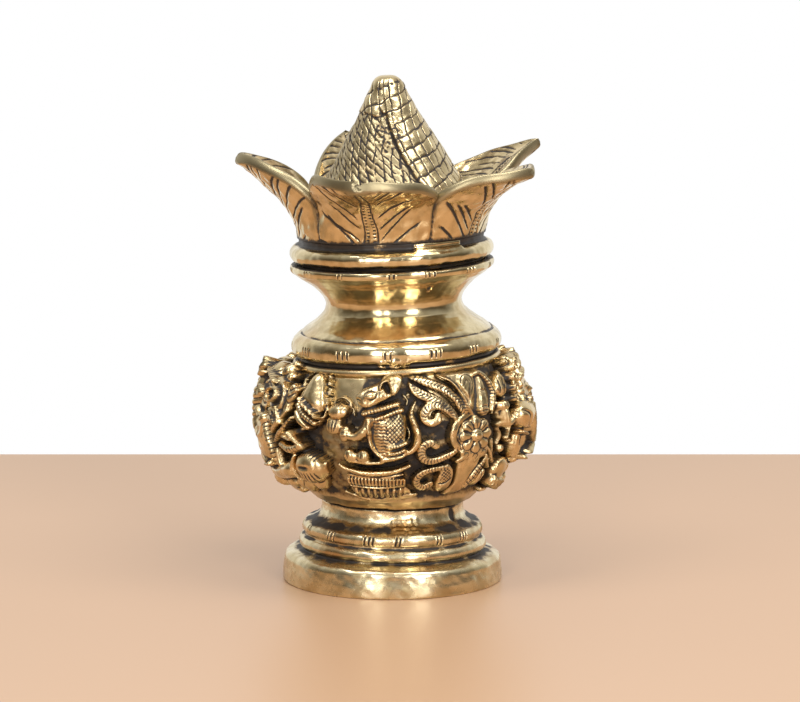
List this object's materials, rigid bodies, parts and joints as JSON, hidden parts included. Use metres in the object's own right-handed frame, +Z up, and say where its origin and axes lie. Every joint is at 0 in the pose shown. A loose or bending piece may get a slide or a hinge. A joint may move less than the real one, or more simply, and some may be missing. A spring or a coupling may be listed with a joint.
{
  "type": "brass kalash pot",
  "caption": "Small cast brass kalash: relief-decorated round pot on a moulded foot, with a lift-off lid shaped as mango leaves round a coconut.",
  "frame": {"origin": "on the table under the middle of the foot", "axes": "+Z up; the front, with the mouse on its pedestal, faces -Y; the Ganesha is on -X and the goddess on +X"},
  "size_m": [0.0757, 0.0759, 0.125],
  "materials": {
    "polished_brass": "polished, with black lacquer in the grooves",
    "brushed_brass": "brushed, slightly dull",
    "antique_brass": "polished on the high points, black patina in the ground",
    "leaf_brass": "polished outside, matte edges, dark inside",
    "chased_brass": "satin, with black chased lines"
  },
  "bodies": {
    "pot": {"foot": "brushed_brass", "belly": "antique_brass", "shoulder_neck": "polished_brass", "ganesha_relief": "antique_brass", "goddess_relief": "antique_brass", "mouse_front": "antique_brass", "mouse_back": "antique_brass", "pedestal_front": "antique_brass", "pedestal_back": "antique_brass", "flower_spray_front": "antique_brass", "flower_spray_back": "antique_brass"},
    "lid": {"lid_collar": "polished_brass", "mango_leaf_front": "leaf_brass", "mango_leaf_right_front": "leaf_brass", "mango_leaf_right_back": "leaf_brass", "mango_leaf_back": "leaf_brass", "mango_leaf_left": "leaf_brass", "coconut": "chased_brass"}
  },
  "joints": [
    {"name": "lid_lift", "type": "slide", "parent": "pot", "child": "lid", "axis": [0, 0, 1], "range_m": [0, 0.03]}
  ]
}
